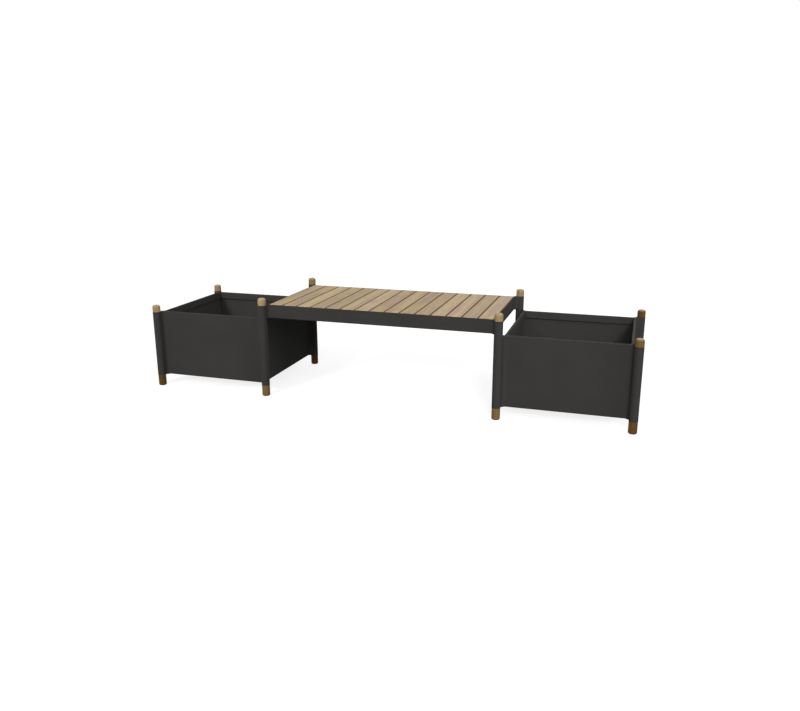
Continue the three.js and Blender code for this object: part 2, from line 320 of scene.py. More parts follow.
# the planters' sheet: the frame's coat dimmed a little, painted shade
panelCoat = powderCoat("panelCoat", coatLook, coatLook["panelShadeDim"])
slatWood = hardwood("slatWood", slatLook)
turnedWood = hardwood("turnedWood", turnedLook)
stainlessSteel = stainless("stainlessSteel", steelLook)
print("finishes made")


# mesh tools

def newPiece(name, shape, material):
    mesh = bpy.data.meshes.new(name)
    shape.to_mesh(mesh)
    shape.free()
    piece = bpy.data.objects.new(name, mesh)
    bpy.context.collection.objects.link(piece)
    mesh.materials.append(material)
    return piece


def rubbedShape():
    # a shape whose vertices say how far the coat is rubbed there, from 0 to 1
    shape = bmesh.new()
    return shape, shape.verts.layers.float.new("rub")


def thicken(piece, thick, even=False):
    # gives each face the thickness of its sheet, on the side behind it
    walls = piece.modifiers.new("thickness", "SOLIDIFY")
    walls.thickness = thick * mm
    walls.offset = -1
    walls.use_even_offset = even
    return piece


edgeRounding = {"steps": 2, "sharp": 50, "flatWeight": 80}


def settle(piece, edge=0.0, sharp=edgeRounding["sharp"]):
    # rounds the edges sharper than an angle, weights the normals to the flats and leaves a plain mesh
    if edge:
        rounded = piece.modifiers.new("edges", "BEVEL")
        rounded.width = edge * mm
        rounded.segments = edgeRounding["steps"]
        rounded.limit_method = "ANGLE"
        rounded.angle_limit = math.radians(sharp)
        rounded.use_clamp_overlap = True
    weighted = piece.modifiers.new("normals", "WEIGHTED_NORMAL")
    weighted.keep_sharp = True
    weighted.weight = edgeRounding["flatWeight"]
    piece.data.shade_smooth()
    depsgraph = bpy.context.evaluated_depsgraph_get()
    plain = bpy.data.meshes.new_from_object(
        piece.evaluated_get(depsgraph), preserve_all_data_layers=True, depsgraph=depsgraph)
    piece.modifiers.clear()
    piece.data = plain
    return piece


def fix(piece, slotName, *nodes):
    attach(piece, "root")
    if nodes:
        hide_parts(*nodes)


def arc(middle, radiusX, radiusY, start, end, steps):
    angles = [start + (end - start) * i / steps for i in range(steps + 1)]
    return [(middle[0] + radiusX * math.cos(a), middle[1] + radiusY * math.sin(a)) for a in angles]


def quarterBend(steps):
    # shares of a bend's radius, one falling to 0 and one rising to 1, and how far the coat is rubbed there
    turns = [quarter * i / steps for i in range(steps + 1)]
    return [(1 - math.sin(turn), 1 - math.cos(turn), math.sin(2 * turn)) for turn in turns]


def grid(shape, rows):
    # quads between rows of vertices; a shared corner makes a triangle and None leaves a hole
    for lower, upper in zip(rows, rows[1:]):
        for i in range(len(lower) - 1):
            corners = [lower[i], lower[i + 1], upper[i + 1], upper[i]]
            if None in corners:
                continue
            corners = [v for k, v in enumerate(corners) if v not in corners[:k]]
            if len(corners) > 2:
                shape.faces.new(corners)


def revolve(shape, profile, segments, closed=False):
    # turns [radius, height] points about z; a radius of 0 is a pole
    rings = []
    for radius, height in profile:
        turns = [math.tau * i / segments for i in range(segments if radius > 0 else 1)]
        places = [(radius * math.cos(turn), radius * math.sin(turn), height) for turn in turns]
        rings.append([shape.verts.new(place) for place in places])
    rows = [ring + ring[:1] if len(ring) > 1 else ring * (segments + 1) for ring in rings]
    grid(shape, rows + (rows[:1] if closed else []))
    return [v for ring in rings for v in ring]


# turned caps and feet

turning = {
    "radius": 19.5, "tenonRadius": 17.7, "tenonLength": 20, "tenonChamfer": 1.5, "fitGap": 0.3,
    "capHeight": 36, "capShoulder": 11, "capTopRadius": 9, "capCrown": 1.2,
    "footRound": 7, "chamfer": 0.5,
    "segments": 96, "arcSteps": 14,
    # where the flanks and the flat ends have points between, as shares
    "capStations": (0.2, 0.5, 0.8), "crownStations": (0.8, 0.55, 0.3),
    "footStations": (0.3, 0.6), "soleStation": 0.6,
    # how far the pith may lie from the piece's axis, in metres, and the first seed of each kind
    "pith": ((0.012, 0.03), (-0.02, 0.02), (0, 40)), "capSeed": 1, "footSeed": 101,
}
# how brown the cap and the foot of each post are, 0 pale, 1 dark brown: tone that differs from piece to
# piece, and on the foot of the left planter's back inner post, under the seat, painted shade too
postToneAndShade = {
    "left_outer_front": (0.0, 0.81), "left_outer_back": (0.2, 0.75),
    "left_inner_front": (0.0, 0.54), "left_inner_back": (0.39, 0.9),
    "right_inner_front": (0.14, 0.5), "right_inner_back": (0.19, 0.6),
    "right_outer_front": (0.61, 0.82), "right_outer_back": (0.76, 0.7),
}


def capProfile(t):
    side = t["capHeight"] - t["capCrown"] - t["capShoulder"]
    flat = t["radius"] - t["capTopRadius"]
    points = [(0, -t["tenonLength"]), (t["tenonRadius"] - t["tenonChamfer"], -t["tenonLength"]),
              (t["tenonRadius"], t["tenonChamfer"] - t["tenonLength"]), (t["tenonRadius"], t["fitGap"]),
              (t["radius"] - t["chamfer"], t["fitGap"]), (t["radius"], t["fitGap"] + t["chamfer"])]
    points += [(t["radius"], side * share) for share in t["capStations"]]
    points += arc((flat, side), t["capTopRadius"], t["capShoulder"], 0, quarter, t["arcSteps"])
    points += [(flat * share, t["capHeight"] - t["capCrown"] * share ** 2) for share in t["crownStations"]]
    return points + [(0, t["capHeight"])]


def footProfile(t, height):
    flat = t["radius"] - t["footRound"]
    top, tenonTop = height - t["fitGap"], height + t["tenonLength"]
    points = [(0, 0), (flat * t["soleStation"], 0)]
    points += arc((flat, t["footRound"]), t["footRound"], t["footRound"], -quarter, 0, t["arcSteps"])
    points += [(t["radius"], height * share) for share in t["footStations"]]
    points += [(t["radius"], top - t["chamfer"]), (t["radius"] - t["chamfer"], top), (t["tenonRadius"], top),
               (t["tenonRadius"], tenonTop - t["tenonChamfer"]),
               (t["tenonRadius"] - t["tenonChamfer"], tenonTop)]
    return points + [(0, tenonTop)]


def turnedPiece(name, profile, place, tone, seed):
    draw = random.Random(seed)
    pith = Vector([draw.uniform(low, high) for low, high in turning["pith"]])
    shape = bmesh.new()
    grainLayer = shape.verts.layers.float_vector.new("grain")
    toneLayer = shape.verts.layers.float.new("tone")
    revolve(shape, [(r * mm, z * mm) for r, z in profile], turning["segments"])
    for vertex in shape.verts:
        vertex[grainLayer] = vertex.co + pith
        vertex[toneLayer] = tone
        vertex.co += Vector(place)
    bmesh.ops.recalc_face_normals(shape, faces=shape.faces)
    return settle(newPiece(name, shape, turnedWood))


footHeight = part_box("post_left_outer_front")[0][2] / mm
for number, key in enumerate(postKeys):
    x, y = postPlace[key]
    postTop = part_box(f"post_{key}")[1][2]
    capTone, footToneAndShade = postToneAndShade[key]
    profile, seed = capProfile(turning), number + turning["capSeed"]
    fix(turnedPiece(f"turnedCap_{key}", profile, (x, y, postTop), capTone, seed), "turned_wood", f"cap_{key}")
    profile, seed = footProfile(turning, footHeight), number + turning["footSeed"]
    fix(turnedPiece(f"turnedFoot_{key}", profile, (x, y, 0), footToneAndShade, seed), "turned_wood", f"foot_{key}")
print("caps and feet made")


# posts

post = {"radius": 20, "wall": 2, "edge": 0.5, "edgeSteps": 3, "edgeBand": 3, "segments": 96}


def tube(name, low, high, place):
    outer, bore, edge = post["radius"] * mm, (post["radius"] - post["wall"]) * mm, post["edge"] * mm
    band = post["edgeBand"] * mm
    bottom = arc((outer - edge, low + edge), edge, edge, -quarter, 0, post["edgeSteps"])
    side = [(outer, low + band), (outer, (low + high) / 2), (outer, high - band)]
    top = arc((outer - edge, high - edge), edge, edge, 0, quarter, post["edgeSteps"])
    rubs = [1.0] * len(bottom) + [0.0] * len(side) + [1.0] * len(top) + [0.0, 0.0]
    shape, rubLayer = rubbedShape()
    made = revolve(shape, bottom + side + top + [(bore, high), (bore, low)], post["segments"], closed=True)
    for i, vertex in enumerate(made):
        vertex[rubLayer] = rubs[i // post["segments"]]
        vertex.co += Vector((*place, 0))
    bmesh.ops.recalc_face_normals(shape, faces=shape.faces)
    return settle(newPiece(name, shape, frameCoat))


for key in postKeys:
    low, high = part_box(f"post_{key}")
    fix(tube(f"tube_{key}", low[2], high[2], postPlace[key]), "frame_metal", f"post_{key}")
print("posts made")


# folded sheet: planter sides, seat rails and the ledges under the slats

folded = {
    "inset": 22, "postRadius": 20, "notchGap": 0.3,
    "sweepSteps": 14, "bendSteps": 5, "innerBend": 0.7, "flatStart": 62,
    "edge": 0.35, "edgeBand": 2,
}
planterSheet = {"thick": 2.5, "low": 56, "high": 390, "footFold": 22, "rim": 12, "rimDrop": 35}
railSheet = {"thick": 3.0, "low": 394, "high": 460, "footFold": 20, "rim": 0, "rimDrop": 0}
ledgePlate = {"thick": 3.0, "top": 441.2, "depth": 32, "setIn": 3.15}
# how far the free edges and the small pieces are rubbed
rubbed = {"footEdge": 0.6, "topEdge": 1.0, "lipEdge": 0.7, "ledgeEdge": 0.6, "plate": 0.3, "stub": 0.2}
mitre = folded["notchGap"] / math.sqrt(2)
sweepMiddle = folded["postRadius"] + folded["inset"]
notch = folded["postRadius"] + folded["notchGap"]


def sweepMeets(depth):
    # where the sweep, at one depth into the sheet, runs into the notch round the post
    radius = folded["inset"] + depth
    x = (sweepMiddle ** 2 + notch ** 2 - radius ** 2) / (2 * sweepMiddle)
    return x, math.sqrt(notch ** 2 - x ** 2)


def sweepLine(depth):
    x, y = sweepMeets(depth)
    radius = folded["inset"] + depth
    start = math.atan2(y, x - sweepMiddle)
    line = arc((sweepMiddle, 0), radius, radius, start, quarter, folded["sweepSteps"])
    return line + [(folded["flatStart"], radius)]


def foldLine(depth, inner):
    # the inner edge of a level fold: round the post, then out to the mitre and along
    x, y = sweepMeets(depth)
    start = math.atan2(y, x)
    end = math.acos(mitre / (notch * math.sqrt(2))) - math.pi / 4
    line = arc((0, 0), notch, notch, start, end, folded["sweepSteps"] - 1)
    return line + [(inner + mitre, inner), (folded["flatStart"], inner)]


def sheetShape(span, rows):
    # rows: a plan line from the post to the flat, its height and its rub; each is mirrored to the other end
    shape, rubLayer = rubbedShape()
    made, merged = [], {}
    for line, height, rub in rows:
        points = [(p[0] - span / 2, p[1]) if p else None for p in line]
        points += [(-p[0], p[1]) if p else None for p in reversed(points)]
        row = []
        for p in points:
            spot = p and (round(p[0], 4), round(p[1], 4), round(height, 4))
            if p and spot not in merged:
                merged[spot] = shape.verts.new(Vector((p[0], p[1], height)) * mm)
                merged[spot][rubLayer] = rub
            row.append(merged[spot] if p else None)
        made.append(row)
    grid(shape, made)
    return shape


def pastMitre(line):
    # hides the points before the mitre, where a row has no sheet
    return [p if i >= folded["sweepSteps"] else None for i, p in enumerate(line)]


def foldedSheet(sheet, span):
    inset, low, high = folded["inset"], sheet["low"], sheet["high"]
    bend = sheet["thick"] + folded["innerBend"]
    around = quarterBend(folded["bendSteps"])
    # foot fold, from its free edge, and up round the bend
    rows = [(foldLine(bend, inset + sheet["footFold"]), low, rubbed["footEdge"])]
    rows += [(sweepLine(bend * falling), low + bend * rising, rub) for falling, rising, rub in around]
    if not sheet["rim"]:
        rows += [(sweepLine(0), high - folded["edgeBand"], 0.0), (sweepLine(0), high, rubbed["topEdge"])]
        return sheetShape(span, rows)
    # over the rim, and down the lip
    rows += [(sweepLine(bend * rising), high - bend * falling, rub) for falling, rising, rub in around]
    inner, lipEdge = inset + sheet["rim"], high - sheet["rimDrop"]
    rows.append((foldLine(bend, inner - bend), high, 0.0))
    for falling, rising, rub in around[1:]:
        rows.append((pastMitre(foldLine(bend, inner - bend * falling)), high - bend * rising, rub))
    lip = pastMitre(foldLine(bend, inner))
    rows += [(lip, lipEdge + folded["edgeBand"], 0.0), (lip, lipEdge, rubbed["lipEdge"])]
    return sheetShape(span, rows)


def ledgeShape(span):
    outer = sweepLine(ledgePlate["setIn"])
    inner = foldLine(ledgePlate["setIn"], folded["inset"] + ledgePlate["depth"])
    top = ledgePlate["top"]
    return sheetShape(span, [(outer, top, 0.0), (inner, top, rubbed["ledgeEdge"])])


def standSheet(name, shape, sheet, material, place, turn):
    shape.transform(Matrix.Translation((*place, 0)) @ Matrix.Rotation(turn, 4, "Z"))
    return settle(thicken(newPiece(name, shape, material), sheet["thick"]), folded["edge"])


def alongBetween(keyA, keyB):
    a, b = postPlace[keyA], postPlace[keyB]
    return (a + b) / 2, (b - a).length / mm


# each sheet: the two posts it runs between, and the turn that faces it outwards
planterSides = {
    "front": ("outer_front", "inner_front", {"left": 0, "right": 0}),
    "back": ("outer_back", "inner_back", {"left": math.pi, "right": math.pi}),
    "outer": ("outer_front", "outer_back", {"left": -quarter, "right": quarter}),
    "inner": ("inner_front", "inner_back", {"left": quarter, "right": -quarter}),
}
for side in benchSides:
    for face, (keyA, keyB, turns) in planterSides.items():
        place, span = alongBetween(f"{side}_{keyA}", f"{side}_{keyB}")
        name, shape = f"planterSide_{side}_{face}", foldedSheet(planterSheet, span)
        piece = standSheet(name, shape, planterSheet, panelCoat, place, turns[side])
        fix(piece, "panel_metal", f"panel_{side}_{face}")

seatSides = {
    "front": ("left_inner_front", "right_inner_front", 0),
    "back": ("left_inner_back", "right_inner_back", math.pi),
    "left": ("left_inner_front", "left_inner_back", -quarter),
    "right": ("right_inner_front", "right_inner_back", quarter),
}
for face, (keyA, keyB, turn) in seatSides.items():
    place, span = alongBetween(keyA, keyB)
    rail = standSheet(f"seatRail_{face}", foldedSheet(railSheet, span), railSheet, frameCoat, place, turn)
    fix(rail, "frame_metal", f"rail_{face}")
    if face in benchEnds:
        ledge = standSheet(f"ledge_{face}", ledgeShape(span), ledgePlate, frameCoat, place, turn)
        fix(ledge, "frame_metal")
print("planter sides and seat rails made")


# planter floors: inverted pans with drain holes

pan = {
    "sheet": 2, "bend": 2.8, "bendSteps": 5, "corner": 5, "cornerSteps": 6, "edge": 0.3, "edgeBand": 2,
    "drain": 14, "drainSteps": 32,
    "drainShares": [(0, 0), (-0.3, -0.3), (0.3, -0.3), (-0.3, 0.3), (0.3, 0.3)],    # of the posts' spacing
}


def roundedRectangle(halfX, halfY, radius, steps):
    points = []
    for turn, sx, sy in ((0, 1, 1), (1, -1, 1), (2, -1, -1), (3, 1, -1)):
        middle = (sx * (halfX - radius), sy * (halfY - radius))
        points += arc(middle, radius, radius, turn * quarter, (turn + 1) * quarter, steps)
    return points


def floorPan(name, box, drainSpan):
    low, high = Vector(box[0]), Vector(box[1])
    middle, half = (low + high) / 2, (high - low) / 2
    shape, rubLayer = rubbedShape()
    bend, corner, drain = pan["bend"] * mm, pan["corner"] * mm, pan["drain"] / 2 * mm

    def ring(inset, height, rub):
        made = []
        for x, y in roundedRectangle(half.x - inset, half.y - inset, corner - inset, pan["cornerSteps"]):
            made.append(shape.verts.new((middle.x + x, middle.y + y, height)))
            made[-1][rubLayer] = rub
        return made + made[:1]

    rings = [ring(0, low.z, 1.0), ring(0, low.z + pan["edgeBand"] * mm, 0.0)]
    for falling, rising, rub in quarterBend(pan["bendSteps"]):
        rings.append(ring(bend * rising, high.z - bend * falling, rub))
    grid(shape, rings)
    loops = [rings[-1][:-1]]
    for shareX, shareY in pan["drainShares"]:
        spot = (middle.x + shareX * drainSpan, middle.y + shareY * drainSpan)
        circle = arc(spot, drain, drain, 0, math.tau, pan["drainSteps"])[:-1]
        loops.append([shape.verts.new((x, y, high.z)) for x, y in circle])
    edges = []
    for loop in loops:
        for a, b in zip(loop, loop[1:] + loop[:1]):
            edges.append(shape.edges.get((a, b)) or shape.edges.new((a, b)))
    bmesh.ops.triangle_fill(shape, use_beauty=True, edges=edges, normal=(0, 0, 1))
    bmesh.ops.recalc_face_normals(shape, faces=shape.faces)
    if sum(face.normal.z * face.calc_area() for face in shape.faces) < 0:
        bmesh.ops.reverse_faces(shape, faces=shape.faces)
    return settle(thicken(newPiece(name, shape, panelCoat), pan["sheet"], even=True), pan["edge"])


for side in benchSides:
    _, span = alongBetween(f"{side}_outer_front", f"{side}_inner_front")
    fix(floorPan(f"pan_{side}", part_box(f"floor_{side}"), span * mm), "panel_metal", f"floor_{side}")
print("planter floors made")


# bearers: rectangular tube under the slats

bearer = {"wall": 2, "corner": 3, "boreCorner": 1.4, "cornerSteps": 5,
          "edge": 0.3, "edgeBand": 2, "sharp": 60}


def crossTube(name, box):
    low, high = Vector(box[0]), Vector(box[1])
    middle, half = (low + high) / 2, (high - low) / 2
    wall, band = bearer["wall"] * mm, bearer["edgeBand"] * mm
    outer = roundedRectangle(half.y, half.z, bearer["corner"] * mm, bearer["cornerSteps"])
    bore = roundedRectangle(half.y - wall, half.z - wall, bearer["boreCorner"] * mm, bearer["cornerSteps"])
    shape, rubLayer = rubbedShape()
    rings = []
    for outline, x, rub in ((outer, low.x, 1), (outer, low.x + band, 0), (outer, high.x - band, 0),
                            (outer, high.x, 1), (bore, high.x, 0), (bore, low.x, 0)):
        ring = [shape.verts.new((x, middle.y + y, middle.z + z)) for y, z in outline]
        for vertex in ring:
            vertex[rubLayer] = rub
        rings.append(ring + ring[:1])
    grid(shape, rings + rings[:1])
    bmesh.ops.recalc_face_normals(shape, faces=shape.faces)
    return settle(newPiece(name, shape, frameCoat), bearer["edge"], bearer["sharp"])


for face in benchEnds:
    fix(crossTube(f"crossTube_{face}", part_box(f"bearer_{face}")), "frame_metal", f"bearer_{face}")
print("bearers made")


# angles that close the planters' corners, and braces across the seat's

angle = {"thick": 2, "wing": 18, "low": 87.8, "high": 383.5, "bendRadius": 2,
         "stubs": (132.155, 339.145), "nuts": (120, 222)}
brace = {"thick": 3, "wing": 14, "low": 401, "high": 434.2, "bendRadius": 5, "setOut": 4, "stubIn": 0.4}
plate = {"fitGap": 0.3, "bendSteps": 5, "tipRadius": 4, "tipSteps": 4, "edge": 0.4}
stub = {
    "radius": 4, "facets": 28, "sunk": 0.6,
    "weld": [(1.6, 0), (1.6, 0.8), (0.5, 2), (0, 3.6)],      # beyond the radius, and from the stub's end
}
nutSpots = []   # place and direction of each nut, in metres


def roundCorners(points, radius, steps):
    rounded = [points[0]]
    for before, middle, after in zip(points, points[1:], points[2:]):
        a, b, c = Vector(before), Vector(middle), Vector(after)
        toA, toC = (a - b).normalized(), (c - b).normalized()
        half = toA.angle(toC) / 2
        reach = radius / math.tan(half)
        centre = b + (toA + toC).normalized() * (radius / math.sin(half))
        start, end = b + toA * reach - centre, b + toC * reach - centre
        for i in range(steps + 1):
            spoke = start.lerp(end, i / steps).normalized() * radius
            rounded.append(tuple(centre + spoke))
    return rounded + [points[-1]]


def bentPlate(size, corners, turn):
    # the inner face of one bent plate, which gets its thickness outwards
    shape, rubLayer = rubbedShape()
    line = roundCorners(corners, size["bendRadius"], plate["bendSteps"])
    rows = [[shape.verts.new(Vector((x, y, z)) * mm) for x, y in line] for z in (size["low"], size["high"])]
    grid(shape, rows)
    tips = [rows[0][0], rows[0][-1], rows[1][0], rows[1][-1]]
    bmesh.ops.bevel(shape, geom=tips, offset=plate["tipRadius"] * mm, segments=plate["tipSteps"],
                    affect="VERTICES", profile=0.5)
    for vertex in shape.verts:
        vertex[rubLayer] = rubbed["plate"]
        vertex.co = turn @ vertex.co
    return shape


def weldedStubs(end, heights, turn):
    # what joins a plate to its post, with a weld at each end
    shape, rubLayer = rubbedShape()
    start = post["radius"] - stub["sunk"]
    profile = [(0, start)] + [(stub["radius"] + out, start + along) for out, along in stub["weld"]]
    profile += [(stub["radius"] + out, end - along) for out, along in reversed(stub["weld"])] + [(0, end)]
    lay = Matrix.Rotation(math.pi / 4, 4, "Z") @ Matrix.Rotation(quarter, 4, "Y")
    for height in heights:
        for vertex in revolve(shape, [(r * mm, z * mm) for r, z in profile], stub["facets"]):
            vertex[rubLayer] = rubbed["stub"]
            vertex.co = turn @ (Matrix.Translation((0, 0, height * mm)) @ (lay @ vertex.co))
    bmesh.ops.recalc_face_normals(shape, faces=shape.faces)
    return shape


def addNuts(across, innerFace, heights, turn):
    for height in heights:
        for x, y, aim in ((across, innerFace, (0, 1, 0)), (innerFace, across, (1, 0, 0))):
            nutSpots.append((turn @ (Vector((x, y, height)) * mm), turn.to_3x3() @ Vector(aim)))


def planterAngle(turn):
    face = folded["inset"] + planterSheet["thick"] + plate["fitGap"]
    inner, tip = face + angle["thick"], sweepMiddle + angle["wing"]
    addNuts(tip - angle["wing"] / 2, inner, angle["nuts"], turn)
    stubEnd = (face + angle["thick"] / 2) * math.sqrt(2)
    return (bentPlate(angle, [(tip, inner), (inner, inner), (inner, tip)], turn),
            weldedStubs(stubEnd, angle["stubs"], turn))


def seatBrace(turn):
    face = folded["inset"] + railSheet["thick"] + plate["fitGap"]
    bend = sweepMiddle + brace["setOut"]
    tip, inner = bend + brace["wing"], face + brace["thick"]
    innerBend = bend + brace["thick"] * (math.sqrt(2) - 1)
    height = (brace["low"] + brace["high"]) / 2
    addNuts((innerBend + tip) / 2, inner, [height], turn)
    stubEnd = (face + bend) / math.sqrt(2) + brace["stubIn"]
    return (bentPlate(brace, [(tip, inner), (innerBend, inner), (inner, innerBend), (inner, tip)], turn),
            weldedStubs(stubEnd, [height], turn))


def cornerPiece(name, key, make, thick, towards):
    # towards: the direction in plan in which the corner opens
    turn = Matrix.Translation((*postPlace[key], 0)) @ Matrix.Rotation(towards - math.pi / 4, 4, "Z")
    plateShape, stubShape = make(turn)
    bent = thicken(newPiece(f"{name}_{key}", plateShape, frameCoat), thick)
    fix(settle(bent, plate["edge"]), "frame_metal")
    fix(settle(newPiece(f"{name}Stubs_{key}", stubShape, frameCoat)), "frame_metal")


for key in postKeys:
    side, row, end = key.split("_")
    inX, inY = (1 if side == "left" else -1), (1 if end == "front" else -1)    # towards the bench's middle
    intoPlanter = math.atan2(inY, inX if row == "outer" else -inX)
    cornerPiece("cornerAngle", key, planterAngle, angle["thick"], intoPlanter)
    if row == "inner":
        cornerPiece("seatBrace", key, seatBrace, brace["thick"], math.atan2(inY, inX))
print("corner angles and braces made")


# Geometry Nodes helpers

def newTree(name, **sockets):
    tree = bpy.data.node_groups.new(name, "GeometryNodeTree")
    tree.interface.new_socket("Geometry", in_out="INPUT", socket_type="NodeSocketGeometry")
    for label, kind in sockets.items():
        tree.interface.new_socket(label, in_out="INPUT", socket_type=f"NodeSocket{kind}")
    tree.interface.new_socket("Geometry", in_out="OUTPUT", socket_type="NodeSocketGeometry")
    return tree, addNode(tree, "NodeGroupInput").outputs


def vectorOf(tree, x=0.0, y=0.0, z=0.0):
    return output(tree, "ShaderNodeCombineXYZ", {0: x, 1: y, 2: z})


def store(tree, geometry, name, value, kind="FLOAT", domain="POINT"):
    return output(tree, "GeometryNodeStoreNamedAttribute", {
        "Geometry": geometry, "Name": name, "Value": value}, data_type=kind, domain=domain)


def stored(tree, name, kind="FLOAT_VECTOR"):
    return output(tree, "GeometryNodeInputNamedAttribute", {"Name": name}, data_type=kind)


def moveTo(tree, geometry, position):
    return output(tree, "GeometryNodeSetPosition", {"Geometry": geometry, "Position": position})


def endTree(tree, geometry, material):
    real = output(tree, "GeometryNodeRealizeInstances", {0: geometry})
    dressed = output(tree, "GeometryNodeSetMaterial", {"Geometry": real, "Material": material})
    addNode(tree, "NodeGroupOutput", {0: dressed})


def growPiece(name, points, tree, values):
    # runs a tree on a mesh of points and leaves the plain mesh it makes
    mesh = bpy.data.meshes.new(name)
    mesh.from_pydata([tuple(p) for p, _ in points], [], [])
    aims = mesh.attributes.new("aim", "FLOAT_VECTOR", "POINT")
    for i, (_, aim) in enumerate(points):
        aims.data[i].vector = aim
    piece = bpy.data.objects.new(name, mesh)
    bpy.context.collection.objects.link(piece)
    grower = piece.modifiers.new("grower", "NODES")
    grower.node_group = tree
    for item in tree.interface.items_tree:
        if item.in_out == "INPUT" and item.name in values:
            grower[item.identifier] = values[item.name]
    return settle(piece)


# slats

slats = {
    "count": 15, "arris": 1.5 * mm, "seed": 7,
    "stations": 25, "arcStations": 4, "arrisSteps": 5,
    "cutFrom": (-0.03, -30.0, 0.02), "cutTo": (0.03, 30.0, 0.09),    # a board's place in the timber
}


def slatTree():
    tree, given = newTree(
        "slatRow", Count="Int", Pitch="Float", Width="Float", Length="Float", Thickness="Float",
        Arris="Float", Start="Vector", Seed="Int", Finish="Material")
    last, arcStations = slats["stations"] - 1, float(slats["arcStations"])

    # stations along a slat: close together round each end, then even
    path = output(tree, "GeometryNodeCurvePrimitiveLine", {"Start": (0, 0, 0), "End": (0, 1, 0)})
    path = output(tree, "GeometryNodeResampleCurve", {"Curve": path, "Count": slats["stations"]})
    index = output(tree, "GeometryNodeInputIndex")
    fromEnd = calc(tree, "MINIMUM", index, minus(tree, float(last), index))
    turn = times(tree, calc(tree, "DIVIDE", fromEnd, arcStations, True), quarter)
    drawnIn = times(tree, given["Arris"], minus(tree, 1.0, calc(tree, "SINE", turn)))
    onArc = times(tree, given["Arris"], minus(tree, 1.0, calc(tree, "COSINE", turn)))
    halfLength = times(tree, given["Length"], 0.5)
    share = between(tree, fromEnd, arcStations, last / 2)
    onFlat = times(tree, share, minus(tree, halfLength, given["Arris"]))
    reach = minus(tree, minus(tree, halfLength, onArc), onFlat)
    side = calc(tree, "SIGN", minus(tree, index, last / 2))
    path = moveTo(tree, path, vectorOf(tree, y=times(tree, reach, side)))
    path = store(tree, path, "drawnIn", drawnIn)

    section = output(tree, "GeometryNodeCurvePrimitiveQuadrilateral", {
        "Width": given["Width"], "Height": given["Thickness"]})
    section = output(tree, "GeometryNodeFilletCurve", {
        "Curve": section, "Count": slats["arrisSteps"], "Radius": given["Arris"]}, mode="POLY")
    board = output(tree, "GeometryNodeCurveToMesh", {
        "Curve": path, "Profile Curve": section, "Fill Caps": True})

    # round the ends by drawing the section in
    here = output(tree, "GeometryNodeInputPosition")
    x, y, z = addNode(tree, "ShaderNodeSeparateXYZ", {0: here}).outputs
    drawn = stored(tree, "drawnIn", "FLOAT")

    def narrowed(value, size):
        shrink = calc(tree, "DIVIDE", drawn, times(tree, given[size], 0.5))
        return times(tree, value, minus(tree, 1.0, shrink))

    board = moveTo(tree, board, vectorOf(tree, narrowed(x, "Width"), y, narrowed(z, "Thickness")))
    board = store(tree, board, "grain", here, "FLOAT_VECTOR")

    # one board on each point of the row, each cut from another place in the timber
    offset = vectorOf(tree, given["Pitch"])
    row = output(tree, "GeometryNodeMeshLine", {
        "Count": given["Count"], "Start Location": given["Start"], "Offset": offset})
    placed = output(tree, "GeometryNodeInstanceOnPoints", {"Points": row, "Instance": board})
    shift = output(tree, "FunctionNodeRandomValue", {
        0: slats["cutFrom"], 1: slats["cutTo"], "Seed": given["Seed"]}, data_type="FLOAT_VECTOR")
    tone = addNode(tree, "FunctionNodeRandomValue", {
        2: 0.0, 3: 1.0, "Seed": plus(tree, given["Seed"], 1.0)}, data_type="FLOAT").outputs[1]
    placed = store(tree, placed, "shift", shift, "FLOAT_VECTOR", "INSTANCE")
    placed = store(tree, placed, "tone", tone, "FLOAT", "INSTANCE")
    real = output(tree, "GeometryNodeRealizeInstances", {0: placed})
    cut = vectorCalc(tree, "ADD", stored(tree, "grain"), stored(tree, "shift"))
    real = store(tree, real, "grain", cut, "FLOAT_VECTOR")
    endTree(tree, real, given["Finish"])
    return tree


firstLow, firstHigh = (Vector(corner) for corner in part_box("slat_01"))
slatSize = firstHigh - firstLow
slatPitch = nodeMiddle("slat_02").x - nodeMiddle("slat_01").x
slatRow = growPiece("slats", [((0, 0, 0), (0, 0, 1))], slatTree(), {
    "Count": slats["count"], "Pitch": slatPitch, "Width": slatSize.x, "Length": slatSize.y,
    "Thickness": slatSize.z, "Arris": slats["arris"], "Start": tuple((firstLow + firstHigh) / 2),
    "Seed": slats["seed"], "Finish": slatWood})
fix(slatRow, "slat_wood", *[f"slat_{i + 1:02d}" for i in range(slats["count"])])
print("slats made")


# screws under the slats, and nuts on the angles and braces

# a name with a capital is an input of the tree; steps lift the top face by a share of the rise and scale it
screws = {
    "Head": 4.2 * mm, "Rise": 2.4 * mm,
    "facets": 18, "foot": 0.45,
    # a dome, then the rim of the socket and the socket's floor
    "steps": ((0.3, 0.9), (0.17, 0.72), (0.08, 0.5), (0.0, 0.76), (-0.7, 1.0)),
    "fromLedgeEdge": 13, "offAxis": 18,
}
nuts = {
    "Washer": 5.0 * mm, "Across": 4.3 * mm, "Thickness": 3.6 * mm, "Stud": 2.4 * mm,
    "washerFacets": 24, "washerShare": 0.25,
    "hexFoot": 0.85, "hexSteps": ((0.15, 0.9),),
    "studFacets": 14, "studFoot": 0.4, "studSteps": ((0.15, 0.75),),
}


def placedOnPoints(tree, points, shape):
    aim = stored(tree, "aim")
    turn = output(tree, "FunctionNodeAlignRotationToVector", {"Vector": aim}, axis="Z")
    return output(tree, "GeometryNodeInstanceOnPoints", {
        "Points": points, "Instance": shape, "Rotation": turn})


